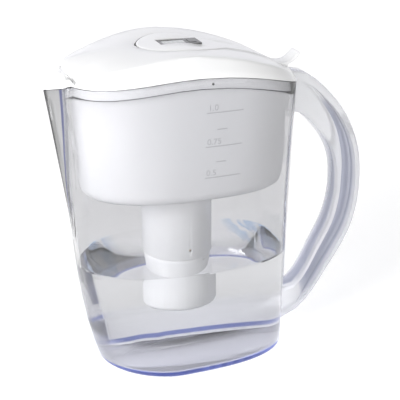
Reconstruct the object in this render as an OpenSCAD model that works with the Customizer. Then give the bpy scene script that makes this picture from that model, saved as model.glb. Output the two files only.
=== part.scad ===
// Water filter pitcher with a flip lid.
// Z is up and the base stands on z = 0. The spout points to -X and the handle to +X.

/* [Jug] */
// Height of the rim at the middle of the long sides
rim_h = 236.5; // [225:0.5:250]
// Fall of the rim from there towards the spout end
rim_fall_front = 7.2; // [4:0.1:12]
// Further dip of the rim at the spout
rim_dip = 4.7; // [2:0.1:7]
// Fall of the rim from there to the handle end
rim_fall_rear = 17.3; // [12:0.1:20]
// Front end of the body at the rim, from the origin
front_top = 92.7; // [88:0.1:98]
// Front end of the body at the base, from the origin
front_base = 71; // [64:0.5:78]
// Height over which the front draws in towards the base
front_draw = 58; // [45:1:75]
// Rear end of the body at the rim, from the origin
rear_top = 77.7; // [75:0.1:82]
// Rear end of the body at the base, from the origin
rear_base = 74.5; // [70:0.1:76]
// Width of the body at the rim
width_top = 116.6; // [110:0.2:124]
// Width of the body at the base
width_base = 93; // [86:0.5:100]
// Thickness of the clear wall
wall = 2.6; // [2.2:0.1:3.2]
// Thickness of the floor
floor_t = 5; // [3:0.5:8]
// Height of the rebate inside the rim that carries the hopper
rebate_h = 7.4; // [6.5:0.1:9]
// Wall left outside that rebate
rebate_wall = 1.4; // [1.2:0.1:1.8]

/* [Spout] */
// Height of the foot of the spout
spout_foot = 117; // [100:1:140]
// How far the spout stands out of the body at the rim
spout_reach = 12.2; // [9:0.1:16]
// Width of the spout where it leaves the body
spout_w = 22; // [18:0.5:26]

/* [Handle] */
// Height of the handle's lower end
handle_foot = 14.5; // [10:0.5:30]
// Rise of the handle's upper end above the rim behind the lid
handle_rise = 3.4; // [2:0.1:4]
// From the bow's centre to the outermost point of the handle
handle_reach = 66.5; // [62:0.5:72]
// Thickness of the handle at its outermost point
grip_t = 20.9; // [18:0.1:24]
// Width of the handle
grip_w = 20; // [18:0.5:24]
// Web left between the two side recesses
grip_web = 6; // [4:0.5:9]

/* [Hopper] */
// Height of the underside of the hopper
hopper_z = 143; // [135:0.5:155]
// Wall of the hopper
hopper_wall = 1.8; // [1.4:0.1:2.4]
// Gap from the jug's outer face to the hopper's wall under its flange
hopper_in_top = 4.5; // [4.2:0.1:5.5]
// Gap from the jug's outer face to the hopper's wall at its floor
hopper_in_base = 6.6; // [5.6:0.1:9]
// Further gap at the spout end, where the water is poured past the hopper
pour_gap = 2.6; // [1:0.1:4]
// Height of the socket's collar above the hopper's underside
socket_h = 4.6; // [4:0.1:8]

/* [Lid] */
// Rise of the lid's crease above the rim
lid_rise = 13.7; // [11:0.1:17]
// Thickness of the lid's top
lid_t = 3; // [2.6:0.1:3.4]
// Wall of the lid's skirt
skirt_t = 1.6; // [1.3:0.1:2.2]
// Depth of the skirt inside the hopper
skirt_h = 5; // [4:0.1:5.4]
// Inset of the crease from the lid's edge on the long sides
crease_in = 8.3; // [6:0.1:10]

/* [Flip lid] */
// Radius of the round head of the flip lid
flap_r = 29.3; // [27:0.1:31]
// Place of the centre of that head along the pitcher
flap_x = -7.3; // [-10:0.1:-5]
// Half width of the flip lid's tail
tail_half = 10.5; // [9.5:0.1:11.5]
// Thickness of the flip lid
flap_t = 1.8; // [1.5:0.1:2]
// Diameter of the flip lid's hinge pin
flip_pin_d = 3; // [2.6:0.1:3.2]
// Place of that hinge pin along the pitcher
flip_pin_x = 72.5; // [71.5:0.1:73]
// Width of the thumb tab and the knuckle
tab_w = 14; // [12:0.5:15]

/* [Spout flap] */
// Diameter of the spout flap's hinge pin
spout_pin_d = 1.6; // [1.4:0.1:1.8]
// Thickness of the spout flap
cap_t = 1.6; // [1.3:0.1:2]

/* [Cartridge] */
// Diameter of the cartridge's upper case
cart_d = 53; // [48:0.5:56]
// Height of the underside of the cartridge above the table
cart_z = 50; // [44:0.5:60]
// Height of the seam between the upper and the lower case
cart_seam = 89.3; // [80:0.1:100]
// Place of the cartridge along the pitcher
cart_x = -9.2; // [-12:0.1:-6]
// Wall of both cartridge cases
cart_wall = 1.8; // [1.4:0.1:2.4]
// Step from the upper case in to the lower one
cart_step = 1; // [0.6:0.1:1.6]

/* [Timer] */
// Length of the timer's window in the flip lid
window_l = 30.5; // [28:0.5:34]
// Width of that window
window_w = 17; // [16:0.5:20]
// Diameter of the timer's button cell
cell_d = 16; // [12:0.5:17]
// Thickness of that cell
cell_t = 3.2; // [1.6:0.1:3.2]
// Travel of the reset button
button_travel = 0.8; // [0.4:0.1:1]

/* [Fits] */
// Gap between a lid, flange or cover and what it rests on
seat = 0.3; // [0.2:0.05:0.4]
// Radial gap between a pin and its bore
pin_gap = 0.06; // [0.04:0.01:0.1]
// Side gap between a piece that slides or swings and its guide
side_gap = 0.4; // [0.3:0.05:0.5]

/* [Hidden] */
$fn = 64;

// ---- plan of the body -------------------------------------------------
// Points across the spout on each side of its tip, and along each long side
nose_n = 5;
side_n = 27;
// The widest place along the body, and how square its front and rear are
widest_base = -18.7;
widest_top = -5.8;
square_front_base = 1.75;
square_front_top = 2.57;
square_rear = 2.85;

function mix(a, b, t) = a + (b - a) * t;
function clamp01(t) = min(1, max(0, t));
function ease(t) = let (u = clamp01(t)) u * u * (3 - 2 * u);
function up(z) = z / rim_h;
function front_at(z) = -front_top + (front_top - front_base) * exp(-z / front_draw);
function rear_at(z) = mix(rear_base, rear_top, up(z));
function half_at(z) = mix(width_base, width_top, up(z)) / 2;
function widest_at(z) = mix(widest_base, widest_top, up(z));
function square_at(z) = mix(square_front_base, square_front_top, up(z));
function reach_at(z) = spout_reach * pow(clamp01((z - spout_foot) / (rim_h - spout_foot)), 1.15);

// One point of the near side, for an angle from 0 at the spout to 180 at the handle
function side_pt(f, c, xf, xr, b, n) = f <= 90
    ? [c - (c - xf) * pow(cos(f), 2 / n), b * pow(sin(f), 2 / n)]
    : [c + (xr - c) * pow(-cos(f), 2 / square_rear), b * pow(sin(f), 2 / square_rear)];

// Closed outline of the body at nominal height z, drawn in by df at the front,
// dr at the rear and dy at the sides, with a spout that stands out by reach
function plan(z, df, dr, dy, reach, half) =
    let (
        c = widest_at(z),
        xf = front_at(z) + df,
        xr = rear_at(z) - dr,
        b = half_at(z) - dy,
        n = square_at(z),
        f0 = asin(pow(half / b, n / 2)),
        side = [for (i = [1:side_n - 1])
            side_pt(f0 + (180 - f0) * i / side_n, c, xf, xr, b, n)]
    )
    concat(
        [for (k = [nose_n:-1:-nose_n]) let (s = abs(k) / nose_n)
            [c - (c - xf) * pow(1 - pow(half * s / b, n), 1 / n) - reach * (1 - pow(s, 1.2)),
             half * k / nose_n]],
        [for (p = side) [p[0], -p[1]]],
        [[xr, 0]],
        [for (i = [side_n - 2:-1:0]) side[i]]
    );

rim_mid = (rear_at(rim_h) + front_at(rim_h)) / 2;
rim_half = (rear_at(rim_h) - front_at(rim_h)) / 2;
lip_slope = 0.18;
dip_half = 24;
// How far the rim lies below its highest level at the point p of the outline
function fall(p) = let (t = min(1, max(-1, (p[0] - rim_mid) / rim_half)))
    t > 0 ? rim_fall_rear * t * t
          : rim_fall_front * (1 - cos(180 * t)) / 2
            + (t < -0.7 ? rim_dip * ease((dip_half - abs(p[1])) / (0.55 * dip_half)) : 0)
            + lip_slope * max(0, front_at(rim_h) - p[0]);
function rim_at(x, y = 60) = rim_h - fall([x, y]);
function share(z, from) = pow(clamp01((z - from) / (rim_h - from)), 1.6);

// Ring of points on the body: z is the nominal height and drop a further step
// down; every ring of one nominal height rises and falls with the same outline
function ring(z, inset, drop = 0) =
    let (
        outer = plan(z, 0, 0, 0, reach_at(z), spout_w / 2),
        pts = plan(z, inset, inset, inset, max(0, reach_at(z) - 0.35 * inset),
                   spout_w / 2 - 0.8 * min(inset, 4))
    )
    [for (i = [0:len(pts) - 1])
        [pts[i][0], pts[i][1], z - fall(outer[i]) * share(z, 40) - drop]];

// Ring of the hopper, with a level floor and a further gap from the front
function hopper_ring(z, inset, front, drop = 0, lift = 0) =
    let (outer = plan(z, 0, 0, 0, 0, spout_w / 3), pts = plan(z, inset + front, inset, inset, 0, spout_w / 3))
    [for (i = [0:len(pts) - 1])
        [pts[i][0], pts[i][1], z - fall(outer[i]) * share(z, hopper_z + 12) - drop
            + (pts[i][0] < 0 ? lift * ease((dip_half + 6 - abs(pts[i][1])) / 8) : 0)]];

function flat(lists) = [for (l = lists) for (p = l) p];

// Triangles across a ring whose points i and sum - i lie opposite each other
function strips(n, first, last, sum) =
    [for (i = [first:last - 1])
        let (a = (sum - i + n) % n, b = (sum - i - 1 + n) % n)
        for (f = [[i, i + 1, b], [i, b, a]]) if (f[0] != f[1] && f[1] != f[2] && f[0] != f[2]) f];

// Skin over a stack of equal rings: wrap joins the last ring to the first,
// otherwise both ends are closed, by strips where pairs names the opposite points
module skin(rings, wrap = false, pairs = []) {
    n = len(rings[0]);
    m = len(rings);
    top = wrap ? m - 1 : m - 2;
    sides = [for (j = [0:top]) for (i = [0:n - 1])
        let (k = (i + 1) % n, a = j * n, b = ((j + 1) % m) * n)
        for (f = [[a + i, b + i, b + k], [a + i, b + k, a + k]]) f];
    cap = len(pairs) == 3 ? strips(n, pairs[0], pairs[1], pairs[2]) : [[for (i = [0:n - 1]) i]];
    caps = wrap ? [] : concat(cap, [for (f = cap) [for (i = [len(f) - 1:-1:0]) (m - 1) * n + f[i]]]);
    polyhedron(flat(rings), concat(sides, caps), convexity = 10);
}
across_ends = [nose_n, nose_n + len(plan(rim_h, 0, 0, 0, 0, 7)) / 2, 2 * nose_n];

// ---- smooth curve through knots at equal steps, t from 0 to 1 ----------
function knot(v, i) = v[min(len(v) - 1, max(0, i))];
function curve(v, t) =
    let (
        s = clamp01(t) * (len(v) - 1),
        i = min(len(v) - 2, floor(s)),
        u = s - i,
        a = knot(v, i - 1), b = knot(v, i), c = knot(v, i + 1), d = knot(v, i + 2)
    )
    b + u * (c - a) / 2 + u * u * (2 * a - 5 * b + 4 * c - d) / 2
      + u * u * u * (3 * b - a - 3 * c + d) / 2;

// ---- jug ----------------------------------------------------------------
module jug() {
    foot = [[0, 4.5], [1.3, 2], [3.2, 0.6], [6, 0]];
    levels = [20, 38, 58, 82, 106, spout_foot, 132, 158, 184, 208, 226];
    inside = [for (i = [len(levels) - 1:-1:0]) levels[i]];
    color("#c8d2ea", 0.35)
    skin(concat(
        [for (l = foot) ring(l[0], l[1])],
        [for (z = levels) ring(z, 0)],
        [ring(rim_h, 0), ring(rim_h, rebate_wall),
         ring(rim_h, rebate_wall, rebate_h), ring(rim_h, wall, rebate_h)],
        [for (z = inside) ring(z, wall)],
        [ring(floor_t + 5, wall), ring(floor_t + 1.4, wall + 1.4), ring(floor_t, wall + 5)]
    ));
}

// ---- handle -------------------------------------------------------------
bow_x = rear_top - 2.7;
// Outer radius and thickness, as shares of the reach and the grip, every 30
// degrees from straight up to straight down
bow_out = [1.474, 1.226, 1.065, 1, 1.068, 1.256, 1.722];
bow_thick = [1.55, 1.28, 1.07, 1, 1.05, 1.10, 1.17];
// Where the side recess starts, as a share of the thickness
recess_from = [0.76, 0.57, 0.29, 0.15, 0.13, 0.13, 0.14];
recess_to = 0.78;
bow_steps = 30;
bow_top = 80;
bow_bottom = -82;
// Heights along the handle grow with its span from the foot to the rim
above_mid = 94.6;
below_mid = 113.5;
handle_top = rim_at(rear_top) + handle_rise;
bow_tall = (handle_top - handle_foot) / (above_mid + below_mid);
handle_mid = handle_foot + below_mid * bow_tall;
handle_hole_top = handle_mid + 63 * bow_tall;
handle_hole_base = handle_mid - 85 * bow_tall;

function bow_t(a) = (90 - a) / 180;
function out_r(a) = handle_reach * curve(bow_out, bow_t(a));
function in_r(a) = out_r(a) - grip_t * curve(bow_thick, bow_t(a));
function bow_pt(r, a) = [bow_x + r * cos(a), handle_mid + r * sin(a) * bow_tall];

// Half outline of the section from the finger side out: [share along, y]
function grip_half(t, from, deep) =
    let (h = grip_w / 2, r = 3.2, q = 2.2, c = 0.8, to = recess_to * t, a = min(from * t, to - 2.2 * c))
    [[0, h - r], [0.3 * r, h - 0.3 * r], [r, h], [max(a, r + 0.1), h], [max(a, r) + c, h - deep],
     [to - c, h - deep], [to, h], [t - q, h], [t - 0.3 * q, h - 0.3 * q], [t, h - q]];

// Section between the inner point p and the outer point o
function grip_ring(p, o, from, deep, on_wall = false) =
    let (
        t = norm(o - p),
        half = grip_half(t, from, deep),
        n = len(half),
        pts = concat(half, [for (i = [n - 1:-1:0]) [half[i][0], -half[i][1]]])
    )
    [for (q = pts) let (g = p + (o - p) * q[0] / t)
        [on_wall ? wall_face(g[1]) : g[0], q[1], g[1]]];

// Nominal height of the body's ring that passes the height z at the rear
function nominal(z, n = 5) = n == 0 ? z : min(rim_h, z + rim_fall_rear * share(nominal(z, n - 1), 40));
// Rear face of the jug, with the gap that the handle keeps: the lid must pass
// it above the rim
function wall_face(z) = rear_at(nominal(z)) + (z > rim_at(rear_top) - 2 ? side_gap + 0.1 : pin_gap);

module handle() {
    rings = [for (i = [0:bow_steps])
        let (a = mix(bow_top, bow_bottom, i / bow_steps),
             t = bow_t(a),
             deep = (grip_w - grip_web) / 2 * min(ease(t * 7 - 0.4), ease((0.955 - t) * 22)))
        grip_ring(bow_pt(in_r(a), a), bow_pt(out_r(a), a), curve(recess_from, t), deep)];
    color("#c8d2ea", 0.4)
    skin(concat(
        [grip_ring([0, handle_hole_top], [0, handle_top], recess_from[0], 0, true)],
        rings,
        [grip_ring([0, handle_hole_base], [0, handle_foot], recess_from[6], 0, true)]
    ), pairs = [0, 9, 19]);
}

// ---- hopper -------------------------------------------------------------
flange_in = rebate_wall + seat;
flange_t = 1.6;
flange_drop = rebate_h - seat;
// The flange's underside rises beside the spout, where the rim dips
flange_lift = 0.8;
hopper_floor = hopper_z + hopper_wall + 0.4;
bore_r = cart_d / 2 + side_gap;
socket_r = bore_r + 6;
socket_top = hopper_z + socket_h;
hopper_levels = [hopper_z + 8, mix(hopper_z, rim_h, 0.33), mix(hopper_z, rim_h, 0.66)];
function hopper_in(z) = mix(hopper_in_base, hopper_in_top, (z - hopper_z) / (rim_h - hopper_z));

module hopper() {
    inner = [for (i = [2:-1:0]) hopper_levels[i]];
    color("#f4f4f6")
    difference() {
        union() {
            skin(concat(
                [hopper_ring(hopper_z, hopper_in_base + 6.5, pour_gap),
                 hopper_ring(hopper_z + 0.9, hopper_in_base + 3.2, pour_gap),
                 hopper_ring(hopper_z + 3.2, hopper_in_base + 0.9, pour_gap)],
                [for (z = hopper_levels) hopper_ring(z, hopper_in(z), pour_gap)],
                [hopper_ring(rim_h, hopper_in_top, pour_gap, flange_drop + 3.4),
                 hopper_ring(rim_h, hopper_in_top, 0.2, flange_drop, flange_lift),
                 hopper_ring(rim_h, flange_in, 0, flange_drop, flange_lift),
                 hopper_ring(rim_h, flange_in, 0, seat),
                 hopper_ring(rim_h, flange_in + flange_t, 0, seat),
                 hopper_ring(rim_h, flange_in + flange_t, 0, flange_drop - flange_t),
                 hopper_ring(rim_h, hopper_in_top + hopper_wall, 0.4, flange_drop - flange_t),
                 hopper_ring(rim_h, hopper_in_top + hopper_wall, pour_gap, flange_drop + 2.4)],
                [for (z = inner) hopper_ring(z, hopper_in(z) + hopper_wall, pour_gap)],
                [hopper_ring(hopper_floor + 3, hopper_in_base + hopper_wall + 1, pour_gap),
                 hopper_ring(hopper_floor + 0.8, hopper_in_base + hopper_wall + 3, pour_gap),
                 hopper_ring(hopper_floor, hopper_in_base + hopper_wall + 6, pour_gap)]
            ));
            translate([cart_x, 0, hopper_z + 0.5]) cylinder(r = socket_r, h = socket_h - 0.5);
        }
        translate([cart_x, 0, hopper_z - 1]) cylinder(r = bore_r, h = socket_h + 2);
    }
}

// ---- lid ----------------------------------------------------------------
// Height of the crease along the lid, as shares of its rise above the rim
arch = [0.05, 0.30, 0.67, 0.96, 1, 0.80, 0.43, -0.08, -0.76];
crease_front = 2.8;
crease_rear = 2.6;
lid_x0 = front_at(rim_h) + crease_front;
lid_x1 = rear_at(rim_h) - crease_rear;
function lid_s(x) = clamp01((x - lid_x0) / (lid_x1 - lid_x0));
function crease_z(x) = rim_h + lid_rise * curve(arch, lid_s(x));
function crease_half(x) = let (
        c = widest_top,
        t = x < c ? (c - x) / (c - lid_x0) : (x - c) / (lid_x1 - c),
        n = x < c ? square_front_top : square_rear)
    (half_at(rim_h) - crease_in) * pow(max(0, 1 - pow(min(1, t), n)), 1 / n);
function crown(x) = 0.7 + 5 * ease((-28 - x) / 40) - 1.6 * ease((48 - x) / 34) * ease((x + 62) / 40);
function top_z(x, y) = let (h = max(0.5, crease_half(x)))
    crease_z(x) + crown(x) * (1 - pow(clamp01(abs(y) / h), 2.2));

// Outline of the lid from its edge, at 0, to the crease, at 1 and beyond
function lid_plan(t) = plan(rim_h, crease_front * t, crease_rear * t, crease_in * t, 0, spout_w / 3);
lid_foot = lid_plan(0);
function lid_side(t, up) = let (pts = lid_plan(t))
    [for (i = [0:len(pts) - 1])
        [pts[i][0], pts[i][1], mix(rim_h - fall(lid_foot[i]) + seat, crease_z(pts[i][0]), up)]];
// Ring inside the lid at an inset from its edge and a height above the rim
function lid_inside(inset, rise) = let (pts = plan(rim_h, inset, inset, inset, 0, spout_w / 3))
    [for (i = [0:len(pts) - 1]) [pts[i][0], pts[i][1], rim_h - fall(lid_foot[i]) + rise]];

// Outline of the flip lid: a round head on a tail, grown by g on all sides
tail_end = flip_pin_x - 5;
head_x = flap_x - flap_r;
function tail_w(x) = mix(tail_half, 0.72 * tail_half, clamp01((x - 30) / (tail_end - 30)))
    * ease((x - head_x) / 26);
function flap_w(x) =
    let (d = (x - flap_x) / flap_r, head = flap_r * sqrt(max(0, 1 - d * d)))
    pow(pow(head, 3) + pow(tail_w(x), 3), 1 / 3)
    * pow(1 - pow(clamp01((x - tail_end + 6) / 6.01), 3), 1 / 3);
function flap_plan(g) = [for (p = lid_plan(1))
    let (s = lid_s(p[0]), x = mix(head_x, tail_end, s), w = flap_w(x),
         m = flap_x, k = mix(-g, g, s))
    [x + k, sign(p[1]) * (abs(p[1]) < 0.01 ? 0 : max(0.05, w + (w > 0.2 ? g * min(1, w / 6) : 0)))]];

recess_d = 1.4;
ledge_w = 3;
function on_top(pts, drop) = [for (p = pts) [p[0], p[1], top_z(p[0], p[1]) - drop]];
function between(a, b, t) = [for (i = [0:len(a) - 1]) mix(a[i], b[i], t)];

skirt_in = flange_in + flange_t + seat;
pin_y = tab_w / 2 + side_gap;
flip_pin_z = top_z(flip_pin_x, 0) - 3.4;

// Hinge axis of the spout flap, its barrel and the door in the lid's nose
spout_pin_x = front_at(rim_h) + 4.9;
spout_pin_z = rim_at(front_at(rim_h), 0) + 11.7;
barrel_r = spout_pin_d / 2 + 1.3;
barrel_half = 8.6;
door_half = 22;
door_gap = 0.6;
// Upper edge of the flap, level beside its barrel and lower towards its sides
function flap_head(y) = spout_pin_z - 2.2 - 2 * pow(clamp01((abs(y) - 10) / (door_half - 10.2)), 2);

// Doorway for the spout flap, with a round pocket for its barrel
module doorway() {
    mid = barrel_half + side_gap;
    ys = [for (i = [0:10]) mix(mid, door_half + door_gap, i / 10)];
    side = [for (y = ys) [y, flap_head(y) + 1.6 * door_gap]];
    base = spout_pin_z - 36;
    translate([spout_pin_x - 30, 0, 0]) rotate([90, 0, 90]) linear_extrude(34)
        polygon(concat(
            [[-ys[10], base], [ys[10], base]], [for (i = [10:-1:0]) side[i]], [[mid, spout_pin_z - 0.35]],
            [[-mid, spout_pin_z - 0.35]], [for (p = side) [-p[0], p[1]]]
        ));
    translate([spout_pin_x, 0, spout_pin_z]) rotate([90, 0, 0])
        cylinder(r = barrel_r + side_gap, h = 2 * mid, center = true);
}

module lid_shell() {
    edge = lid_plan(1.15);
    gap = flap_plan(side_gap);
    hole = flap_plan(-ledge_w);
    inner_edge = plan(rim_h, crease_front + 5, crease_rear + 4.4, crease_in + 4, 0, spout_w / 3);
    skin([
        lid_side(0, 0), lid_side(0.38, 0.42), lid_side(0.78, 0.8), lid_side(0.95, 0.96),
        on_top(edge, 0),
        on_top(between(edge, gap, 0.35), 0), on_top(between(edge, gap, 0.7), 0),
        on_top(gap, 0), on_top(gap, recess_d),
        on_top(hole, recess_d), on_top(hole, lid_t),
        on_top(between(inner_edge, hole, 0.6), lid_t), on_top(between(inner_edge, hole, 0.2), lid_t),
        on_top(inner_edge, lid_t + 0.6),
        lid_inside(skirt_in + skirt_t + 0.5, 1.2), lid_inside(skirt_in + skirt_t, -skirt_h),
        lid_inside(skirt_in, -skirt_h), lid_inside(skirt_in, seat)
    ], wrap = true);
}

// A disc or block across the pitcher, centred on y = 0
module across(w) {
    translate([0, w / 2, 0]) rotate([90, 0, 0]) linear_extrude(w) children();
}

module lid() {
    color("white")
    difference() {
        union() {
            lid_shell();
            // ears for the flip lid's pin
            for (s = [-1, 1])
                translate([flip_pin_x - 3.4, s * (pin_y + 1.6) - 1.6, flip_pin_z - 3.2])
                    cube([6, 3.2, 4.6]);
        }
        doorway();
        translate([spout_pin_x, 0, spout_pin_z]) rotate([90, 0, 0])
            cylinder(d = spout_pin_d + 2 * pin_gap, h = 2 * barrel_half + 6.8, center = true);
        // slot for the thumb tab, and the bores of its pin
        translate([tail_end - 6, -pin_y, flip_pin_z - 3.2 - side_gap]) cube([30, 2 * pin_y, 30]);
        translate([flip_pin_x, 0, flip_pin_z]) rotate([90, 0, 0])
            cylinder(d = flip_pin_d + 2 * pin_gap, h = 2 * pin_y + 4.4, center = true);
    }
}

// ---- flip lid -----------------------------------------------------------
flap_raise = 0.4;
timer_x = flap_x + 0.8;
deck_z = top_z(timer_x, 0) + flap_raise;

module flip_lid() {
    px = flip_pin_x;
    pz = flip_pin_z;
    under = recess_d - seat;
    color("white")
    difference() {
        union() {
            skin([
                on_top(flap_plan(-0.3), under), on_top(flap_plan(0), under - 0.3),
                on_top(flap_plan(0), -flap_raise + 0.7), on_top(flap_plan(-0.5), -flap_raise + 0.15),
                on_top(flap_plan(-1.5), -flap_raise), on_top(flap_plan(-5), -flap_raise)
            ], pairs = across_ends);
            // tail, knuckle and thumb tab
            across(tab_w) {
                translate([px, pz]) circle(3.2);
                polygon([
                    [px - 10.4, top_z(px - 10.4, 0) - 1], [px - 10.4, top_z(px - 10.4, 0) + 0.3],
                    [px - 6, pz + 5.8], [px, pz + 4.8], [px + 3.6, pz + 5.2], [px + 6.6, pz + 6.8],
                    [px + 9.6, pz + 9.4], [px + 12.2, pz + 12], [px + 13.3, pz + 12],
                    [px + 13.5, pz + 11], [px + 11.4, pz + 8.2], [px + 9, pz + 5.9],
                    [px + 6.6, pz + 4.4], [px + 4, pz + 3.2], [px + 3.2, pz],
                    [px - 3.2, pz], [px - 3.6, pz + 1.6]
                ]);
            }
        }
        translate([px, 0, pz]) rotate([90, 0, 0])
            cylinder(d = flip_pin_d + 2 * pin_gap, h = tab_w + 2, center = true);
        translate([timer_x - window_l / 2, -window_w / 2, deck_z - 6]) cube([window_l, window_w, 12]);
    }
}

module flip_lid_pin() {
    color("#c9ccd2")
    translate([flip_pin_x, 0, flip_pin_z]) rotate([90, 0, 0])
        cylinder(d = flip_pin_d, h = 2 * pin_y + 4, center = true);
}

// ---- spout flap ---------------------------------------------------------
// Front face of the flap at y and height z, drawn in by g, and its two edges
function nose_x(y) = widest_top - (widest_top - front_at(rim_h))
    * pow(1 - pow(abs(y) / half_at(rim_h), square_front_top), 1 / square_front_top);
function rise(y, z) = let (r = rim_h - fall([nose_x(y), y])) (z - r) / (crease_z(lid_x0) - r);
function beak(y, z, g) = let (u = clamp01((z - cap_base) / (flap_head(0) - cap_base)))
    (spout_reach * mix(1.05, 0.28, u) - 0.4 * g)
    * max(0, 1 - pow(abs(y) / (spout_w / 2 - 0.6 * g), 1.2));
function front_x(y, z, g) = nose_x(y) + crease_front * rise(y, z) + g - beak(y, z, g);
// Edge of the jug's rim across the spout, outside and inside: [y, z]
function rim_edge(inset) = let (pts = ring(rim_h, inset))
    [for (i = [nose_n:nose_n + 8]) [-pts[i][1], pts[i][2]]];
rim_out = rim_edge(0);
rim_in = rim_edge(rebate_wall);
function flap_foot(y) = max(lookup(abs(y), rim_out), lookup(abs(y), rim_in)) + seat + 0.1;
cap_base = rim_at(front_at(rim_h) - spout_reach, 0) + seat + 0.1;
flap_ys = [for (k = [-12:12]) sign(k) * (abs(k) < 7 ? abs(k) * 1.84 : 11.04 + (abs(k) - 6) * 1.8)];

// Section of the flap's plate at y, from the front face round to the back
function flap_section(y) =
    let (z0 = flap_foot(y), z1 = flap_head(y), zs = [for (u = [0, 0.3, 0.6, 0.82, 0.94, 1]) mix(z0, z1, u)])
    concat(
        [for (i = [0:5]) [front_x(y, zs[i], i == 5 ? 0.5 : 0), y, zs[i]]],
        [for (i = [5:-1:0]) [front_x(y, zs[i], cap_t), y, zs[i]]]
    );

module spout_flap() {
    color("white")
    difference() {
        union() {
            skin([for (y = flap_ys) flap_section(y)]);
            across(2 * barrel_half - 1)
                translate([spout_pin_x - barrel_r, spout_pin_z - 3.4]) square([barrel_r, 3.4]);
            across(barrel_half + 1)
                translate([spout_pin_x - barrel_r - 1.6, spout_pin_z - 3.4]) square([3, 1.4]);
            across(2 * barrel_half) translate([spout_pin_x, spout_pin_z]) circle(barrel_r);
        }
        translate([spout_pin_x, 0, spout_pin_z]) rotate([90, 0, 0])
            cylinder(d = spout_pin_d + 2 * pin_gap, h = 2 * barrel_half + 2, center = true);
    }
}

module spout_flap_pin() {
    color("#c9ccd2")
    translate([spout_pin_x, 0, spout_pin_z]) rotate([90, 0, 0])
        cylinder(d = spout_pin_d, h = 2 * barrel_half + 6.4, center = true);
}

// ---- filter cartridge ---------------------------------------------------
case_r = cart_d / 2;
base_r = case_r - cart_step;
seal_t = 1.4;
flange_z = socket_top + 0.1 + seal_t;
cart_flange_t = 2.6;
cart_flange_r = case_r + 4.4;
cap_z = flange_z + cart_flange_t;
spigot_h = 4;
screen_t = 0.8;
bed_r = base_r - cart_wall - 0.2;
case_bed_r = case_r - cart_wall - 0.2;
base_bed_z = cart_z + 2.4 + screen_t + 0.1;
mid_z = cart_seam + spigot_h + 0.1;

module at_cart() { translate([cart_x, 0, 0]) children(); }
module disc(r, z, h) { at_cart() translate([0, 0, z]) cylinder(r = r, h = h); }

module cartridge_case() {
    color("white") at_cart()
    difference() {
        rotate_extrude() polygon([
            [case_r - cart_wall, cart_seam + 0.1], [case_r - 0.5, cart_seam + 0.1],
            [case_r, cart_seam + 0.7], [case_r, flange_z], [cart_flange_r - 0.5, flange_z],
            [cart_flange_r, flange_z + 0.5], [cart_flange_r, flange_z + cart_flange_t],
            [case_r - cart_wall, flange_z + cart_flange_t]
        ]);
        for (a = [-52, 68, 188]) rotate([0, 0, a])
            translate([case_r - 3, 0, cart_seam + 8]) rotate([0, 90, 0]) cylinder(d = 2.2, h = 6, $fn = 24);
    }
}

module cartridge_base() {
    color("white") at_cart()
    difference() {
        rotate_extrude() polygon([
            [0, cart_z], [base_r - 4.5, cart_z], [base_r - 2.2, cart_z + 0.6], [base_r - 0.7, cart_z + 1.9],
            [base_r, cart_z + 4], [base_r, cart_seam - 0.2],
            [case_r - cart_wall - 0.1, cart_seam - 0.2], [case_r - cart_wall - 0.1, cart_seam + spigot_h],
            [base_r - cart_wall, cart_seam + spigot_h], [base_r - cart_wall, cart_z + 2.4], [0, cart_z + 2.4]
        ]);
        for (a = [0:45:315]) rotate([0, 0, a])
            translate([7, -1.1, cart_z - 1]) cube([9, 2.2, 5]);
        for (a = [-142, -22, 98]) rotate([0, 0, a])
            translate([base_r - 3, 0, cart_seam - 5]) rotate([0, 90, 0]) cylinder(d = 2.2, h = 6, $fn = 24);
    }
}

module cartridge_cap() {
    r = cart_flange_r - 1.4;
    color("white") at_cart()
    difference() {
        union() {
            rotate_extrude() polygon([
                [0, cap_z + 6.6], [10, cap_z + 6.2], [r - 8, cap_z + 4.4], [r - 1.2, cap_z + 1.6],
                [r, cap_z + 0.1], [case_r - cart_wall - 0.1, cap_z + 0.1],
                [case_r - cart_wall - 0.1, cap_z - 1.4], [case_r - cart_wall - 1.4, cap_z - 1.4],
                [case_r - cart_wall - 2, cap_z + 1.2], [r - 9, cap_z + 2.6], [9, cap_z + 4.4], [0, cap_z + 4.6]
            ]);
            translate([-9, -1.2, cap_z + 4.5]) cube([18, 2.4, 6.5]);
        }
        for (a = [15:30:345]) rotate([0, 0, a]) translate([10, -0.9, cap_z]) cube([9, 1.8, 9]);
    }
}

module cartridge_seal() {
    color("#8f979f") at_cart()
    rotate_extrude() translate([case_r + 2.4, socket_top + 0.1 + seal_t / 2]) circle(d = seal_t, $fn = 24);
}

module inlet_screen() { color("#dfe3e6") disc(case_bed_r, cap_z - 1.6 - screen_t, screen_t); }
module middle_screen() { color("#dfe3e6") disc(case_bed_r, mid_z, screen_t); }
module outlet_screen() { color("#dfe3e6") disc(bed_r, cart_z + 2.5, screen_t); }

bed_top = cap_z - 1.7 - screen_t;
bed_floor = mid_z + screen_t + 0.1;
bed_split = mix(bed_floor, bed_top, 0.5);
module mineral_bed() { color("#b9a58a") disc(case_bed_r, bed_split + 0.05, bed_top - bed_split - 0.1); }
module resin_bed() { color("#c98a3a") disc(case_bed_r, bed_floor, bed_split - bed_floor - 0.05); }
module carbon_bed() { color("#2b2b2d") disc(bed_r, base_bed_z, mid_z - 0.1 - base_bed_z); }

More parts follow.
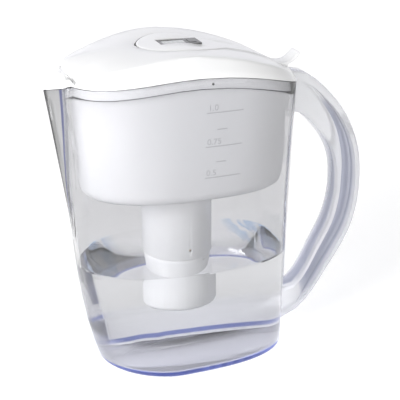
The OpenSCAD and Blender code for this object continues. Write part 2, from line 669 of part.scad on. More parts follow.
// ---- timer in the flip lid ----------------------------------------------
bezel_l = window_l - 0.4;
bezel_w = window_w - 0.4;
bezel_t = 1.4;
bezel_z = deck_z - bezel_t - 0.5;
glass_l = window_l - 13;
glass_w = window_w - 6.4;
glass_x = timer_x - 3.8;
button_l = 5.4;
button_w = 9.6;
button_x = timer_x + glass_l / 2 + 0.85;
case_l = window_l + 4;
case_w = window_w + 4;
case_wall = 1.6;
case_top = bezel_z - 0.1;
board_z = case_top - 2.6;
case_base = board_z - 1.1 - cell_t - 0.9 - 2;
// Top of the case's walls, which stay under the flip lid's curved panel
function case_head(x) = min(case_top, top_z(x, case_w / 2) - recess_d + seat - 0.3);

module block(x, l, w, z, h) { translate([x - l / 2, -w / 2, z]) cube([l, w, h]); }

module timer_bezel() {
    color("#2a2b2e")
    difference() {
        block(timer_x, bezel_l, bezel_w, bezel_z, bezel_t);
        block(glass_x, glass_l, glass_w, bezel_z - 1, 4);
        block(button_x, button_l, button_w, bezel_z - 1, 4);
    }
}
module timer_glass() { color("#9aa39a") block(glass_x, glass_l - 0.3, glass_w - 0.3, bezel_z + 0.5, 0.8); }
module timer_display() { color("#76807a") block(glass_x, glass_l + 1.6, glass_w + 1.6, board_z + 1.1, 1.3); }
module timer_board() { color("#2f6b45") block(timer_x, window_l - 1.2, window_w - 1.2, board_z, 1); }
module timer_cell() {
    color("#c6c8cc") translate([timer_x, 0, board_z - 0.1 - cell_t]) cylinder(d = cell_d, h = cell_t);
}
module timer_case() {
    well = min(cell_d + 0.6, window_w + 0.6);
    color("white")
    difference() {
        across(case_w) polygon(concat(
            [[timer_x - case_l / 2, case_base], [timer_x + case_l / 2, case_base]],
            [for (i = [12:-1:0]) let (x = timer_x + case_l * (i / 12 - 0.5)) [x, case_head(x)]]
        ));
        block(timer_x, case_l - 2 * case_wall, case_w - 2 * case_wall, board_z - 0.1, 20);
        translate([timer_x, 0, case_base - 1]) cylinder(d = well, h = 20);
    }
}
module cell_cover() {
    color("#e6e6e8")
    difference() {
        translate([timer_x, 0, case_base + 0.2]) cylinder(d = min(cell_d, window_w) + 0.2, h = 1.6);
        block(timer_x, 9, 1.6, case_base - 0.4, 1.3);
    }
}
module reset_button() {
    color("#3a3b3f") {
        block(button_x, button_l - 0.4, button_w - 0.4, board_z + 1.1 + button_travel + 0.1,
              bezel_z + bezel_t + 0.3 - (board_z + 1.1 + button_travel + 0.1));
    }
}

jug();
handle();
hopper();
lid();
flip_lid();
flip_lid_pin();
spout_flap();
spout_flap_pin();
cartridge_case();
cartridge_base();
cartridge_cap();
cartridge_seal();
inlet_screen();
middle_screen();
outlet_screen();
mineral_bed();
resin_bed();
carbon_bed();
timer_case();
timer_bezel();
timer_glass();
timer_display();
timer_board();
timer_cell();
cell_cover();
reset_button();
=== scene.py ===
import math

import bmesh
import bpy
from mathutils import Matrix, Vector


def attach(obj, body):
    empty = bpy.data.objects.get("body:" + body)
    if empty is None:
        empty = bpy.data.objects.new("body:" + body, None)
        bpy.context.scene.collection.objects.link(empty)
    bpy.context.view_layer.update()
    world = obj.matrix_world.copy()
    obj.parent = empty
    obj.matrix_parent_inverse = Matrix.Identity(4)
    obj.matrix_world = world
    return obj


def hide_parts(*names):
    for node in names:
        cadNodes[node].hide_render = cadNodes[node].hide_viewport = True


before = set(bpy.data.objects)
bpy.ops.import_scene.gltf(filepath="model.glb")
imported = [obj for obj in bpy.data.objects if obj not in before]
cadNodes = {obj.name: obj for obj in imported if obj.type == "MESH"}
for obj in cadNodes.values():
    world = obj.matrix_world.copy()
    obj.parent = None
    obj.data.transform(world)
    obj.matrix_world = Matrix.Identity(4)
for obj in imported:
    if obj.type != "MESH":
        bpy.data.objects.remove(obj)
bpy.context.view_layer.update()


# small helpers for the mesh work
def deselectAll():
    if bpy.context.object and bpy.context.object.mode != "OBJECT":
        bpy.ops.object.mode_set(mode="OBJECT")
    bpy.ops.object.select_all(action="DESELECT")


def pick(obj):
    deselectAll()
    obj.select_set(True)
    bpy.context.view_layer.objects.active = obj
    return obj


def settle(obj):  # place into the mesh, object at the origin
    pick(obj)
    bpy.ops.object.transform_apply(location=True, rotation=True, scale=True)
    return obj


def addModifier(obj, kind, **settings):
    pick(obj)
    made = obj.modifiers.new(kind.title(), kind)
    for name, value in settings.items():
        setattr(made, name, value)
    bpy.ops.object.modifier_apply(modifier=made.name)


def smooth(obj, degrees=35):
    pick(obj)
    bpy.ops.object.shade_smooth_by_angle(angle=math.radians(degrees))


def coat(obj, material):
    obj.data.materials.clear()
    obj.data.materials.append(material)
    return obj


def copyOfNode(node, name):  # a merged copy of a CAD node's mesh
    source = cadNodes[node]
    made = bpy.data.objects.new(name, source.data.copy())
    bpy.context.scene.collection.objects.link(made)
    pick(made)
    bpy.ops.object.mode_set(mode="EDIT")
    bpy.ops.mesh.select_all(action="SELECT")
    bpy.ops.mesh.remove_doubles(threshold=0.000005)
    bpy.ops.mesh.tris_convert_to_quads(face_threshold=math.radians(30), shape_threshold=math.radians(50))
    bpy.ops.object.mode_set(mode="OBJECT")
    return made


def finished(obj, body, slot, *nodes):
    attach(obj, body)
    if nodes:
        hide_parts(*nodes)
    return obj


# camera and light
view = {
    "azimuth": -18.94,
    "elevation": 22.31,
    "distance": 0.72512,
    "lens": 85.34,
    "target": (0.00989, 0.0, 0.12528),
}


def setCamera():
    turn, lift = math.radians(view["azimuth"]), math.radians(view["elevation"])
    back = Vector((math.sin(turn) * math.cos(lift), -math.cos(turn) * math.cos(lift), math.sin(lift)))
    deselectAll()
    bpy.ops.object.camera_add(location=Vector(view["target"]) + back * view["distance"])
    camera = bpy.context.object
    camera.name = "photoCamera"
    camera.rotation_mode = "QUATERNION"
    camera.rotation_quaternion = (-back).to_track_quat("-Z", "Y")
    camera.data.lens = view["lens"]
    camera.data.sensor_width = 36
    camera.data.clip_start = 0.01
    camera.data.clip_end = 20
    bpy.context.scene.camera = camera


# shader maths
class Wire:  # a socket that can be used in sums
    def __init__(self, tree, socket):
        self.tree = tree
        self.socket = socket

    def maths(self, operation, first, second=None):
        node = self.tree.nodes.new("ShaderNodeMath")
        node.operation = operation
        for place, value in enumerate((first, second)):
            if isinstance(value, Wire):
                self.tree.links.new(value.socket, node.inputs[place])
            elif value is not None:
                node.inputs[place].default_value = value
        return Wire(self.tree, node.outputs[0])

    def size(self):  # without its sign
        return self.maths("ABSOLUTE", self)

    def __add__(self, other): return self.maths("ADD", self, other)
    def __radd__(self, other): return self.maths("ADD", other, self)
    def __sub__(self, other): return self.maths("SUBTRACT", self, other)
    def __rsub__(self, other): return self.maths("SUBTRACT", other, self)
    def __mul__(self, other): return self.maths("MULTIPLY", self, other)
    def __rmul__(self, other): return self.maths("MULTIPLY", other, self)
    def __truediv__(self, other): return self.maths("DIVIDE", self, other)


class Finish:  # a node material while it is being built
    def __init__(self, name, world=None):
        self.material = world or bpy.data.materials.new(name)
        self.material.use_nodes = True
        self.tree = self.material.node_tree
        self.tree.nodes.clear()

    def node(self, kind, settings=None, inputs=None, output=0):
        made = self.tree.nodes.new(kind)
        for name, value in (settings or {}).items():
            if name == "stops":
                ramp = made.color_ramp
                while len(ramp.elements) < len(value):
                    ramp.elements.new(0.5)
                for stop, (place, colour) in zip(ramp.elements, value):
                    stop.position = place
                    stop.color = colour
            else:
                setattr(made, name, value)
        for name, value in (inputs or {}).items():
            if isinstance(value, Wire):
                self.tree.links.new(value.socket, made.inputs[name])
            else:
                made.inputs[name].default_value = value
        return Wire(self.tree, made.outputs[output])

    def objectPoint(self):
        return self.node("ShaderNodeTexCoord", output="Object")

    def noise(self, scale, detail=2.0, roughness=0.5):
        return self.node("ShaderNodeTexNoise", None,
                         {"Vector": self.objectPoint(), "Scale": scale, "Detail": detail, "Roughness": roughness},
                         output=0)

    def ramp(self, factor, *stops):
        return self.node("ShaderNodeValToRGB", {"stops": stops}, {"Fac": factor})

    def other(self, wire, output):  # another output of the node behind a wire
        return Wire(self.tree, wire.socket.node.outputs[output])

    def fade(self, value, none, full):  # 0 at none, 1 at full, smooth between
        return self.node("ShaderNodeMapRange", {"interpolation_type": "SMOOTHSTEP"},
                         {"Value": value, "From Min": none, "From Max": full})

    def blend(self, factor, low, high):
        return self.node("ShaderNodeMix", {"data_type": "RGBA"}, {0: factor, 6: low, 7: high}, output=2)

    def bump(self, height, strength, distance):
        return self.node("ShaderNodeBump", None, {"Height": height, "Strength": strength, "Distance": distance})

    def done(self, surface):
        out = self.tree.nodes.new("ShaderNodeOutputMaterial")
        self.tree.links.new(surface.socket, out.inputs["Surface"])
        return self.material


def grey(value, alpha=1.0):
    return (value, value, value, alpha)


# materials
jugTint = {
    "wallHigh": (0.75, 0.75, 0.76, 1), "wallMiddle": (0.80, 0.803, 0.81, 1), "wallLow": (0.72, 0.722, 0.728, 1),
    "highFade": (0.05, 0.12), "lowFade": (0.058, 0.030),
    "bandFade": (0.026, 0.021), "bandDry": (0.92, 0.925, 0.95, 1), "bandWet": (0.62, 0.62, 0.625, 1),
    # milky layer low on the jug, which also gets a painted glow
    "milkAndGlowFade": (0.036, 0.025), "milkSkin": (0.72, 0.73, 0.83, 1), "basePaintedGlow": (0.09, 0.092, 0.113, 1),
    # painted refraction: a blue line with a painted glow round the foot
    "paintedFootLine": (0.0045, 0.0027, 0.0016), "paintedFootGlass": (0.16, 0.22, 0.70, 1),
    "paintedFootSkin": (0.05, 0.075, 0.30, 1), "paintedFootGlow": (0.020, 0.030, 0.13, 1),
    # painted shade in the spout: a grey skin and a faint painted glow
    "spoutShadeFade": (-0.086, -0.090), "spoutShadeSkin": grey(0.42), "spoutPaintedGlow": (0.014, 0.014, 0.016, 1),
    # painted shade: a dark line along the spout's ridge
    "ridgeShadeFade": (0.0024, 0.0012), "ridgeShadeGlass": grey(0.05), "ridgeShadeSkin": grey(0.06),
    # painted shade: a dark blue line on the crease beside the spout and a grey band beside it
    "creaseTop": 0.2236, "creaseSide": 0.0093, "creaseBow": 0.77, "creaseShadeLine": (0.0010, 0.0003),
    "creaseEnd": (0.122, 0.135), "creaseShadeGlass": (0.05, 0.06, 0.16, 1), "creaseShadeSkin": (0.10, 0.11, 0.24, 1),
    "besideOff": 0.0019, "besideShadeLine": (0.0018, 0.0008), "besideShadeGlass": (0.34, 0.35, 0.38, 1),
}


def clearPlastic(name, bend=1.49, creased=0.0, under=False):
    f = Finish(name)
    t = jugTint
    dry = bend > 1.4
    outer = dry and not under
    ripple = f.noise(9.0, 1.0)
    place = f.node("ShaderNodeSeparateXYZ", None, {"Vector": f.objectPoint()})
    height = f.other(place, "Z")
    side = f.other(place, "Y").size()

    drop = t["creaseTop"] - height
    off = t["creaseSide"] - t["creaseBow"] * drop * drop - side  # how far inside the crease beside the spout
    # painted shade: a dark blue line on the crease beside the spout and a grey band beside it
    creaseShadeReach = f.fade(height, *t["creaseEnd"]) * creased
    creaseShadeMask = creaseShadeReach * f.fade(off.size(), *t["creaseShadeLine"])
    besideShadeMask = creaseShadeReach * f.fade((off + t["besideOff"]).size(), *t["besideShadeLine"])
    # painted shade in the spout: a grey skin and a faint painted glow
    spoutShadeMask = f.fade(place, *t["spoutShadeFade"]) * f.fade(off, -0.0016, -0.0004)
    # painted shade: a dark line along the spout's ridge
    ridgeShadeMask = spoutShadeMask * f.fade(side, *t["ridgeShadeFade"])
    # painted refraction: a blue line round the foot, coloured and given a painted glow
    paintedFootMask = f.fade((height - t["paintedFootLine"][0]).size(), *t["paintedFootLine"][1:])
    # milky layer and painted glow low on the jug
    milkAndGlowMask = f.fade(height, *t["milkAndGlowFade"])

    wall = f.blend(f.fade(height, *t["lowFade"]), t["wallMiddle"], t["wallLow"])
    wall = f.blend(f.fade(height, *t["highFade"]), wall, t["wallHigh"])
    wall = f.blend(besideShadeMask, wall, t["besideShadeGlass"])
    glass = f.blend(f.fade(height, *t["bandFade"]), wall, t["bandDry"] if dry else t["bandWet"])
    # painted glow: emission in the spout, low on the jug and at the foot, where no lamp is
    glow = f.blend(spoutShadeMask, grey(0.0), t["spoutPaintedGlow"])
    if outer:
        glass = f.blend(paintedFootMask, glass, t["paintedFootGlass"])
        glow = f.blend(paintedFootMask, f.blend(milkAndGlowMask, glow, t["basePaintedGlow"]), t["paintedFootGlow"])
    body = f.node("ShaderNodeBsdfPrincipled", None, {
        "Base Color": f.blend(creaseShadeMask, f.blend(ridgeShadeMask, glass, t["ridgeShadeGlass"]), t["creaseShadeGlass"]),
        "Emission Color": glow,
        "Emission Strength": 1.0,
        "Roughness": 0.01 + 0.02 * ripple,
        "IOR": bend,
        "Transmission Weight": 1.0,
        "Normal": f.bump(ripple, 0.04, 0.002),
    })
    if outer:  # a little milky at the base, with painted shade in the spout and a painted refraction line at the foot
        tone = f.blend(paintedFootMask, f.blend(spoutShadeMask, t["milkSkin"], t["spoutShadeSkin"]), t["paintedFootSkin"])
        skin = f.node("ShaderNodeBsdfPrincipled", None, {
            "Base Color": f.blend(creaseShadeMask, f.blend(ridgeShadeMask, tone, t["ridgeShadeSkin"]), t["creaseShadeSkin"]),
            "Roughness": 0.25 + 0.1 * ripple,
            "Coat Weight": 0.3,
        })
        body = f.node("ShaderNodeMixShader", None, {0: milkAndGlowMask * 0.22 + paintedFootMask * 0.25 + spoutShadeMask * 0.45, 1: body, 2: skin})
    through = f.node("ShaderNodeBsdfTransparent", None, {"Color": (0.93, 0.93, 0.945, 1)})
    lampRay = f.node("ShaderNodeLightPath", output="Is Shadow Ray")
    return f.done(f.node("ShaderNodeMixShader", None, {0: lampRay, 1: body, 2: through}))


def milkyHandle(name):  # clear plastic that looks milky where it is thick
    f = Finish(name)
    cloud = f.noise(26.0, 2.0)
    ripple = f.noise(9.0, 1.0)
    place = f.node("ShaderNodeSeparateXYZ", None, {"Vector": f.objectPoint()})
    recessShadeMask = f.fade(f.other(place, "Y").size(), 0.0075, 0.0034)  # painted shade on the recess floor on each side
    tone = f.blend(recessShadeMask, (0.80, 0.805, 0.825, 1), (0.40, 0.42, 0.50, 1))
    skin = f.node("ShaderNodeBsdfPrincipled", None, {
        "Base Color": tone,
        "Roughness": 0.16 + 0.08 * cloud,
        "IOR": 1.49,
        "Transmission Weight": 0.0,
        "Coat Weight": 0.6,
        "Coat Roughness": 0.06,
        "Normal": f.bump(ripple, 0.1, 0.002),
    })
    glass = f.node("ShaderNodeBsdfPrincipled", None, {
        "Base Color": f.blend(recessShadeMask, (0.97, 0.97, 0.985, 1), (0.66, 0.68, 0.80, 1)),
        "Roughness": 0.04 + 0.04 * ripple,
        "IOR": 1.49,
        "Transmission Weight": 1.0,
        "Normal": f.bump(ripple, 0.1, 0.002),
    })
    mixed = f.node("ShaderNodeMixShader", None, {0: 0.45 + 0.1 * cloud, 1: glass, 2: skin})
    through = f.node("ShaderNodeBsdfTransparent", None, {"Color": (0.35, 0.35, 0.38, 1)})
    lampRay = f.node("ShaderNodeLightPath", output="Is Shadow Ray")
    return f.done(f.node("ShaderNodeMixShader", None, {0: lampRay, 1: mixed, 2: through}))


def waterTop(name):
    f = Finish(name)
    stripes = f.node("ShaderNodeTexNoise", None, {
        "Vector": f.node("ShaderNodeMapping", None, {"Vector": f.objectPoint(), "Scale": (140, 30, 30)}), "Scale": 1.0})
    place = f.node("ShaderNodeSeparateXYZ", None, {"Vector": f.objectPoint()})
    off = place + 0.006
    ends = f.fade(off.size(), 0.042, 0.060)
    # painted refraction: blue streaks near the ends of the water surface
    paintedStreakMask = ends * f.fade(stripes, 0.42, 0.55)
    body = f.node("ShaderNodeBsdfPrincipled", None, {
        "Base Color": f.blend(paintedStreakMask, (1.0, 1.0, 1.0, 1), (0.42, 0.60, 0.92, 1)),
        "Roughness": 0.0, "IOR": 1.33, "Transmission Weight": 1.0,
    })
    through = f.node("ShaderNodeBsdfTransparent", None, {"Color": (0.97, 0.98, 1.0, 1)})
    lampRay = f.node("ShaderNodeLightPath", output="Is Shadow Ray")
    return f.done(f.node("ShaderNodeMixShader", None, {0: lampRay, 1: body, 2: through}))


def mouldedPlastic(name, low, high, roughness, grain=900.0, bumpSize=0.00001, coatWeight=0.25, seam=False):
    f = Finish(name)
    cloud = f.noise(14.0, 2.0)
    skin = f.noise(grain, 2.0, 0.6)
    tone = f.ramp(cloud, (0.35, low), (0.65, high))
    if seam:  # the shade in the seam behind the spout's cap
        place = f.node("ShaderNodeSeparateXYZ", None, {"Vector": f.objectPoint()})
        side = f.other(place, "Y").size()
        off = place + 0.0929 - 0.235 * side
        shade = f.fade(off.size(), 0.0001 + 0.030 * side, 0.010 * side)
        tone = f.blend(shade * f.fade(side, 0.001, 0.016) * f.fade(side, 0.0262, 0.0250), tone, grey(0.38))
    body = f.node("ShaderNodeBsdfPrincipled", None, {
        "Base Color": tone,
        "Roughness": roughness - 0.01 + 0.02 * skin,
        "Coat Weight": coatWeight,
        "Coat Roughness": 0.12,
        "IOR": 1.46,
        "Normal": f.bump(skin, 0.25, bumpSize),
    })
    return f.done(body)


def brushedSteel(name):
    f = Finish(name)
    stretch = f.node("ShaderNodeMapping", {"vector_type": "POINT"},
                     {"Vector": f.objectPoint(), "Scale": (2500, 60, 2500)})
    lines = f.node("ShaderNodeTexNoise", None, {"Vector": stretch, "Scale": 1.0, "Detail": 2.0})
    body = f.node("ShaderNodeBsdfPrincipled", None, {
        "Base Color": f.ramp(lines, (0.3, grey(0.55)), (0.7, grey(0.7))),
        "Roughness": 0.22 + 0.18 * lines,
        "Metallic": 1.0,
        "Normal": f.bump(lines, 0.2, 0.00003),
    })
    return f.done(body)


def grains(name, dark, light, size):
    f = Finish(name)
    cells = f.node("ShaderNodeTexVoronoi", None, {"Vector": f.objectPoint(), "Scale": 1 / size})
    tone = f.node("ShaderNodeTexVoronoi", None, {"Vector": f.objectPoint(), "Scale": 1 / size}, output="Color")
    shade = f.node("ShaderNodeSeparateColor", None, {"Color": tone})
    body = f.node("ShaderNodeBsdfPrincipled", None, {
        "Base Color": f.ramp(shade, (0.0, dark), (1.0, light)),
        "Roughness": 0.55 + 0.3 * cells,
        "Normal": f.bump(1 - cells, 0.6, size * 0.4),
    })
    return f.done(body)


def wovenMesh(name, pitch=0.0006):
    f = Finish(name)
    place = f.node("ShaderNodeSeparateXYZ", None, {"Vector": f.objectPoint()})
    along = place.maths("SINE", place * (2 * math.pi / pitch))
    acrossWire = Wire(f.tree, place.socket.node.outputs["Y"])
    across = acrossWire.maths("SINE", acrossWire * (2 * math.pi / pitch))
    weave = along * across
    body = f.node("ShaderNodeBsdfPrincipled", None, {
        "Base Color": f.ramp(weave * 0.5 + 0.5, (0.2, grey(0.42)), (0.8, grey(0.8))),
        "Roughness": 0.6,
        "Normal": f.bump(weave, 0.4, 0.0001),
    })
    return f.done(body)


def displayFace(name, middle, half):
    f = Finish(name)
    place = f.node("ShaderNodeSeparateXYZ", None, {"Vector": f.objectPoint()})
    along = (f.other(place, "X") - middle[0]) / half[0]
    across = (f.other(place, "Y") - middle[1]) / half[1]
    farAlong, farAcross = along.size(), across.size()
    lit = f.fade(farAlong, 0.93, 0.88) * f.fade(farAcross, 0.86, 0.80)
    steps = (along * 2.6).maths("FRACT", along * 2.6 + 0.5)
    bar = f.fade(steps, 0.20, 0.26) * f.fade(steps, 0.80, 0.74)
    bar = bar * f.fade(farAcross, 0.46, 0.40) * f.fade(farAlong, 0.80, 0.76)
    cloud = f.noise(60.0, 1.0)
    face = f.blend(bar, (0.40, 0.42, 0.405, 1), (0.33, 0.35, 0.335, 1))
    body = f.node("ShaderNodeBsdfPrincipled", None, {
        "Base Color": f.blend(lit, (0.055, 0.058, 0.06, 1), face),
        "Roughness": 0.12 + 0.06 * cloud,
        "Coat Weight": 0.4,
    })
    return f.done(body)


studio = {
    "front": 0.52, "side": 0.42, "back": 1.15, "strength": 1.0,
    "key": 24, "keyPlace": (-1.45, -0.8, 0.85), "keySize": 0.9,
    "fill": 5, "fillPlace": (0.5, -1.6, 0.5), "fillSize": 1.4,
}


def studioWorld():
    world = bpy.data.worlds.new("studio")
    bpy.context.scene.world = world
    f = Finish("studio", world)
    way = f.node("ShaderNodeSeparateXYZ", None, {"Vector": f.node("ShaderNodeTexCoord", output="Generated")})
    depth = f.other(way, "Y")
    level = f.node("ShaderNodeMapRange", None, {"Value": depth, "From Min": -0.5, "From Max": 1.0})
    tone = f.ramp(level, (0.0, grey(studio["front"])), (0.33, grey(studio["side"])), (0.6, grey(studio["side"])),
                  (0.85, (studio["back"], studio["back"], studio["back"] * 1.06, 1)))
    back = f.node("ShaderNodeBackground", None, {"Color": tone, "Strength": studio["strength"]})
    out = f.tree.nodes.new("ShaderNodeOutputWorld")
    f.tree.links.new(back.socket, out.inputs["Surface"])


def addLamp(name, place, size, power, aim=(0, 0, 0.12)):
    deselectAll()
    bpy.ops.object.light_add(type="AREA", location=place)
    lamp = bpy.context.object
    lamp.name = name
    lamp.data.shape = "DISK"
    lamp.data.size = size
    lamp.data.energy = power
    lamp.rotation_mode = "QUATERNION"
    lamp.rotation_quaternion = (Vector(aim) - Vector(place)).to_track_quat("-Z", "Y")


floorSettings = {"size": 14.0, "height": -0.0002, "glowNear": 0.46, "glowFar": 0.62, "glowFade": (0.35, 1.6)}


def addFloor():
    deselectAll()
    bpy.ops.mesh.primitive_plane_add(size=floorSettings["size"], location=(0, 0, floorSettings["height"]))
    floor = settle(bpy.context.object)
    floor.name = "studioFloor"
    f = Finish("floorPaper")
    reach = f.node("ShaderNodeVectorMath", {"operation": "LENGTH"}, {0: f.objectPoint()}, output="Value")
    glow = f.fade(reach, *floorSettings["glowFade"])
    body = f.node("ShaderNodeBsdfPrincipled", None, {
        "Base Color": f.ramp(f.noise(2.0), (0.3, grey(0.78)), (0.7, grey(0.80))),
        "Roughness": 0.8,
        "Specular IOR Level": 0.1,
        "Emission Color": f.blend(glow, grey(floorSettings["glowNear"]), grey(floorSettings["glowFar"])),
        "Emission Strength": 1.0,
    })
    coat(floor, f.done(body))


print("stage: camera, lights and floor")
setCamera()
studioWorld()
addFloor()
addLamp("keyLamp", studio["keyPlace"], studio["keySize"], studio["key"])
addLamp("fillLamp", studio["fillPlace"], studio["fillSize"], studio["fill"])
bpy.context.scene.view_settings.view_transform = "Standard"

print("stage: materials")
bodyClear = clearPlastic("clearStyrene")
wetClear = clearPlastic("wetStyrene", 1.49 / 1.33)  # where water touches it
creaseShadeClear = clearPlastic("creaseShadeStyrene", 1.49, 1.0)  # outside of the spout, with painted shade along its crease
underClear = clearPlastic("underStyrene", 1.49, 0.0, True)
handleClear = milkyHandle("handleClear")
whiteGloss = mouldedPlastic("whiteGloss", (0.82, 0.825, 0.83, 1), (0.85, 0.85, 0.85, 1), 0.28, bumpSize=0.000002,
                            seam=True)
whiteSatin = mouldedPlastic("whiteSatin", (0.80, 0.805, 0.81, 1), (0.84, 0.84, 0.845, 1), 0.4, 1200.0)
hopperWhite = mouldedPlastic("hopperWhite", (0.76, 0.765, 0.775, 1), (0.79, 0.79, 0.80, 1), 0.35)
scaleGrey = mouldedPlastic("scaleGrey", (0.50, 0.505, 0.52, 1), (0.56, 0.565, 0.58, 1), 0.45)
frameDark = mouldedPlastic("frameDark", (0.05, 0.052, 0.05, 1), (0.07, 0.07, 0.068, 1), 0.35)
buttonDark = mouldedPlastic("buttonDark", (0.12, 0.12, 0.12, 1), (0.15, 0.15, 0.15, 1), 0.45)
pinSteel = brushedSteel("pinSteel")
sealRubber = mouldedPlastic("sealRubber", (0.17, 0.18, 0.19, 1), (0.21, 0.22, 0.23, 1), 0.7, 1500.0, 0.0001, 0.0)
meshWeave = wovenMesh("meshWeave")
mineralGrains = grains("mineralGrains", (0.35, 0.27, 0.18, 1), (0.75, 0.68, 0.55, 1), 0.0022)
resinGrains = grains("resinGrains", (0.45, 0.2, 0.04, 1), (0.8, 0.5, 0.15, 1), 0.0008)
carbonGrains = grains("carbonGrains", (0.004, 0.004, 0.005, 1), (0.05, 0.05, 0.055, 1), 0.0014)
boardGreen = mouldedPlastic("boardGreen", (0.02, 0.12, 0.05, 1), (0.03, 0.17, 0.08, 1), 0.3)
lcdFace = displayFace("lcdFace", (-0.0103, 0), (0.0086, 0.0052))
cellSteel = brushedSteel("cellSteel")

print("stage: finishes of the carried pieces")
carried = {
    "flip_lid_pin": pinSteel, "spout_flap_pin": pinSteel,
    "cartridge_seal": sealRubber,
    "inlet_screen": meshWeave, "middle_screen": meshWeave, "outlet_screen": meshWeave,
    "mineral_bed": mineralGrains, "resin_bed": resinGrains, "carbon_bed": carbonGrains,
    "timer_case": whiteSatin, "cell_cover": whiteSatin, "timer_bezel": frameDark,
    "timer_glass": lcdFace, "timer_display": lcdFace, "timer_board": boardGreen, "timer_cell": cellSteel,
    "reset_button": buttonDark,
}
for node, material in carried.items():
    coat(cadNodes[node], material)

print("stage: shells of the pitcher")
shells = {
    "jug": ("pitcher", "jugShell", bodyClear, "clear_plastic", 0.0003),
    "handle": ("pitcher", "bowHandle", handleClear, "clear_plastic", 0.0004),
    "hopper": ("funnel", "hopperShell", hopperWhite, "hopper_plastic", 0.0003),
    "lid": ("top", "lidShell", whiteGloss, "white_plastic", 0.00035),
    "flip_lid": ("filler_door", "flipPanel", whiteGloss, "white_plastic", 0.0003),
    "spout_flap": ("spout_door", "spoutCap", whiteGloss, "white_plastic", 0.0003),
    "cartridge_case": ("filter", "cartridgeCase", whiteSatin, "white_plastic", 0.0003),
    "cartridge_base": ("filter", "cartridgeBase", whiteSatin, "white_plastic", 0.0003),
    "cartridge_cap": ("filter", "cartridgeCap", whiteSatin, "white_plastic", 0.0003),
}
turned = {"cartridge_case": -33.0, "cartridge_base": -31.7}  # holes face the viewer
axisX = -0.0092


def fingerNotch(lid, middleX=-0.0206, radius=0.018, ledgeX=-0.0345, depth=0.0023):
    hit, spot, _, _ = lid.ray_cast(Vector((-0.0379, 0, 0.4)), Vector((0, 0, -1)))
    deselectAll()
    bpy.ops.mesh.primitive_cylinder_add(vertices=120, radius=radius, depth=0.01,
                                        location=(middleX, 0, spot.z - depth + 0.005))
    cutter = settle(bpy.context.object)
    bpy.ops.object.mode_set(mode="EDIT")
    bpy.ops.mesh.select_all(action="SELECT")
    bpy.ops.mesh.bisect(plane_co=(ledgeX, 0, 0), plane_no=(1, 0, 0), clear_outer=True, use_fill=True)
    bpy.ops.object.mode_set(mode="OBJECT")
    addModifier(lid, "BOOLEAN", operation="DIFFERENCE", solver="EXACT", object=cutter)
    bpy.data.objects.remove(cutter)


for node, (body, name, material, slot, edge) in shells.items():
    piece = copyOfNode(node, name)
    if node in turned:
        spin = math.radians(turned[node])
        for v in piece.data.vertices:
            x, y = v.co.x - axisX, v.co.y
            v.co.x = axisX + x * math.cos(spin) - y * math.sin(spin)
            v.co.y = x * math.sin(spin) + y * math.cos(spin)
    if node == "lid":
        fingerNotch(piece)
    addModifier(piece, "BEVEL", width=edge, segments=2, limit_method="ANGLE", angle_limit=math.radians(40),
                use_clamp_overlap=True, harden_normals=False)
    smooth(piece, 60 if node == "jug" else 32)
    coat(piece, material)
    finished(piece, body, slot, node)

print("stage: level scale and collar pip")
scale = {
    "levels": {0.2110: "1.0", 0.1860: "0.75", 0.1626: "0.5"},
    "ticks": (0.1985, 0.1743),
    "long": (-0.0035, 0.0235),
    "short": (0.0045, 0.0120),
    "line": 0.0007,
    "figure": 0.0062,
    "proud": 0.00012,
}
hopperShell = bpy.data.objects["hopperShell"]


def conform(flat, carrier, proud, thick=0.0003):  # lay a flat mesh on the near side
    for v in flat.data.vertices:
        hit, spot, _, _ = carrier.ray_cast(Vector((v.co.x, -0.2, v.co.z)), Vector((0, 1, 0)))
        v.co.y = spot.y - proud
    addModifier(flat, "SOLIDIFY", thickness=thick, offset=-1)
    pick(flat)
    bpy.ops.object.mode_set(mode="EDIT")
    bpy.ops.mesh.select_all(action="SELECT")
    bpy.ops.mesh.normals_make_consistent(inside=False)
    bpy.ops.object.mode_set(mode="OBJECT")
    return flat


def flatLine(ends, height, width):
    deselectAll()
    bpy.ops.mesh.primitive_grid_add(x_subdivisions=14, y_subdivisions=2, size=1,
                                    location=((ends[0] + ends[1]) / 2, -0.1, height), rotation=(math.pi / 2, 0, 0))
    line = bpy.context.object
    line.scale = (ends[1] - ends[0], width, 1)
    return settle(line)


def figures(words, height):
    deselectAll()
    bpy.ops.object.text_add(location=(scale["long"][0] + 0.001, -0.1, height + 0.0016), rotation=(math.pi / 2, 0, 0))
    text = bpy.context.object
    text.data.body = words
    text.data.size = scale["figure"]
    bpy.ops.object.convert(target="MESH")
    return settle(bpy.context.object)


def joined(pieces, name):
    deselectAll()
    for piece in pieces:
        piece.select_set(True)
    bpy.context.view_layer.objects.active = pieces[0]
    bpy.ops.object.join()
    pieces[0].name = name
    return pieces[0]


marks = []
for height, words in scale["levels"].items():
    marks.append(conform(flatLine(scale["long"], height, scale["line"]), hopperShell, scale["proud"]))
    marks.append(conform(figures(words, height), hopperShell, scale["proud"]))
for height in scale["ticks"]:
    marks.append(conform(flatLine(scale["short"], height, scale["line"]), hopperShell, scale["proud"]))
levelScale = finished(coat(joined(marks, "levelScale"), scaleGrey), "funnel", "hopper_plastic")

pip = {"x": -0.0003, "z": 0.2321, "radius": 0.0009, "proud": 0.00018}
deselectAll()
bpy.ops.mesh.primitive_circle_add(vertices=24, radius=pip["radius"], fill_type="TRIFAN",
                                  location=(pip["x"], -0.1, pip["z"]), rotation=(math.pi / 2, 0, 0))
collarPip = conform(settle(bpy.context.object), hopperShell, pip["proud"], 0.0004)
collarPip.name = "collarPip"
finished(coat(collarPip, frameDark), "funnel", "dark_plastic")

print("stage: water")
waterSettings = {"level": 0.0868, "rim": 0.0022, "climb": 0.0014, "middle": (-0.005, 0.0, 0.06)}
jugZones = {"spoutEnd": -0.084, "underTop": 0.008, "underSlope": -0.8}


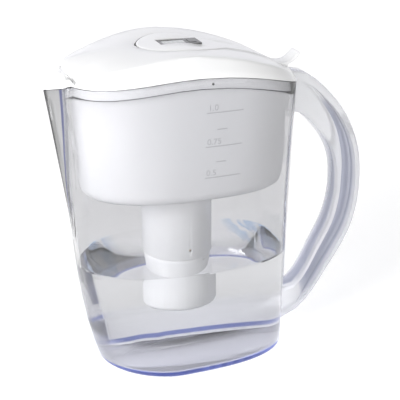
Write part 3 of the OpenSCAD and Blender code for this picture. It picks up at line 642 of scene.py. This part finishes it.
def wetInnerWall(jug):  # below the level, the inner faces of the jug meet water
    for material in (wetClear, creaseShadeClear, underClear):
        jug.data.materials.append(material)
    pick(jug)
    bpy.ops.object.mode_set(mode="EDIT")
    bpy.ops.mesh.select_all(action="SELECT")
    bpy.ops.mesh.bisect(plane_co=(0, 0, waterSettings["level"]), plane_no=(0, 0, 1))
    bpy.ops.mesh.select_all(action="DESELECT")
    bpy.ops.object.mode_set(mode="OBJECT")
    middle = Vector(waterSettings["middle"])
    for face in jug.data.polygons:
        inner = face.normal.dot(face.center - middle) < 0
        if inner and face.center.z < waterSettings["level"]:
            face.material_index = 1
        elif face.center.x < jugZones["spoutEnd"] and face.normal.y < 0 and face.normal.x < 0:
            face.material_index = 2
        elif face.center.z < jugZones["underTop"] and face.normal.z < jugZones["underSlope"]:
            face.material_index = 3


def addWater():
    water = copyOfNode("jug", "waterTop")
    pick(water)
    bpy.ops.object.mode_set(mode="EDIT")
    bpy.ops.mesh.select_all(action="SELECT")
    bpy.ops.mesh.bisect(plane_co=(0, 0, waterSettings["level"]), plane_no=(0, 0, 1), clear_outer=True)
    bpy.ops.object.mode_set(mode="OBJECT")
    work = bmesh.new()
    work.from_mesh(water.data)
    loops = [e for e in work.edges if e.is_boundary]
    start = min((v for e in loops for v in e.verts if abs(v.co.x) < 0.02), key=lambda v: abs(v.co.y))
    inner, step = {start}, [start]
    while step:
        step = [e.other_vert(v) for v in step for e in v.link_edges if e in loops and e.other_vert(v) not in inner]
        inner |= set(step)
    bmesh.ops.delete(work, geom=[v for v in work.verts if v not in inner], context="VERTS")
    bmesh.ops.delete(work, geom=list(work.faces), context="FACES_ONLY")
    bmesh.ops.contextual_create(work, geom=[e for e in work.edges])
    bmesh.ops.recalc_face_normals(work, faces=work.faces)
    if work.faces[:][0].normal.z < 0:
        bmesh.ops.reverse_faces(work, faces=work.faces)
    rimVerts = list(work.verts)
    bmesh.ops.inset_region(work, faces=work.faces, thickness=waterSettings["rim"], depth=0, use_boundary=True)
    for v in rimVerts:
        v.co.z += waterSettings["climb"]
    work.to_mesh(water.data)
    work.free()
    smooth(water, 60)
    coat(water, waterTop("stillWater"))


wetInnerWall(bpy.data.objects["jugShell"])
addWater()
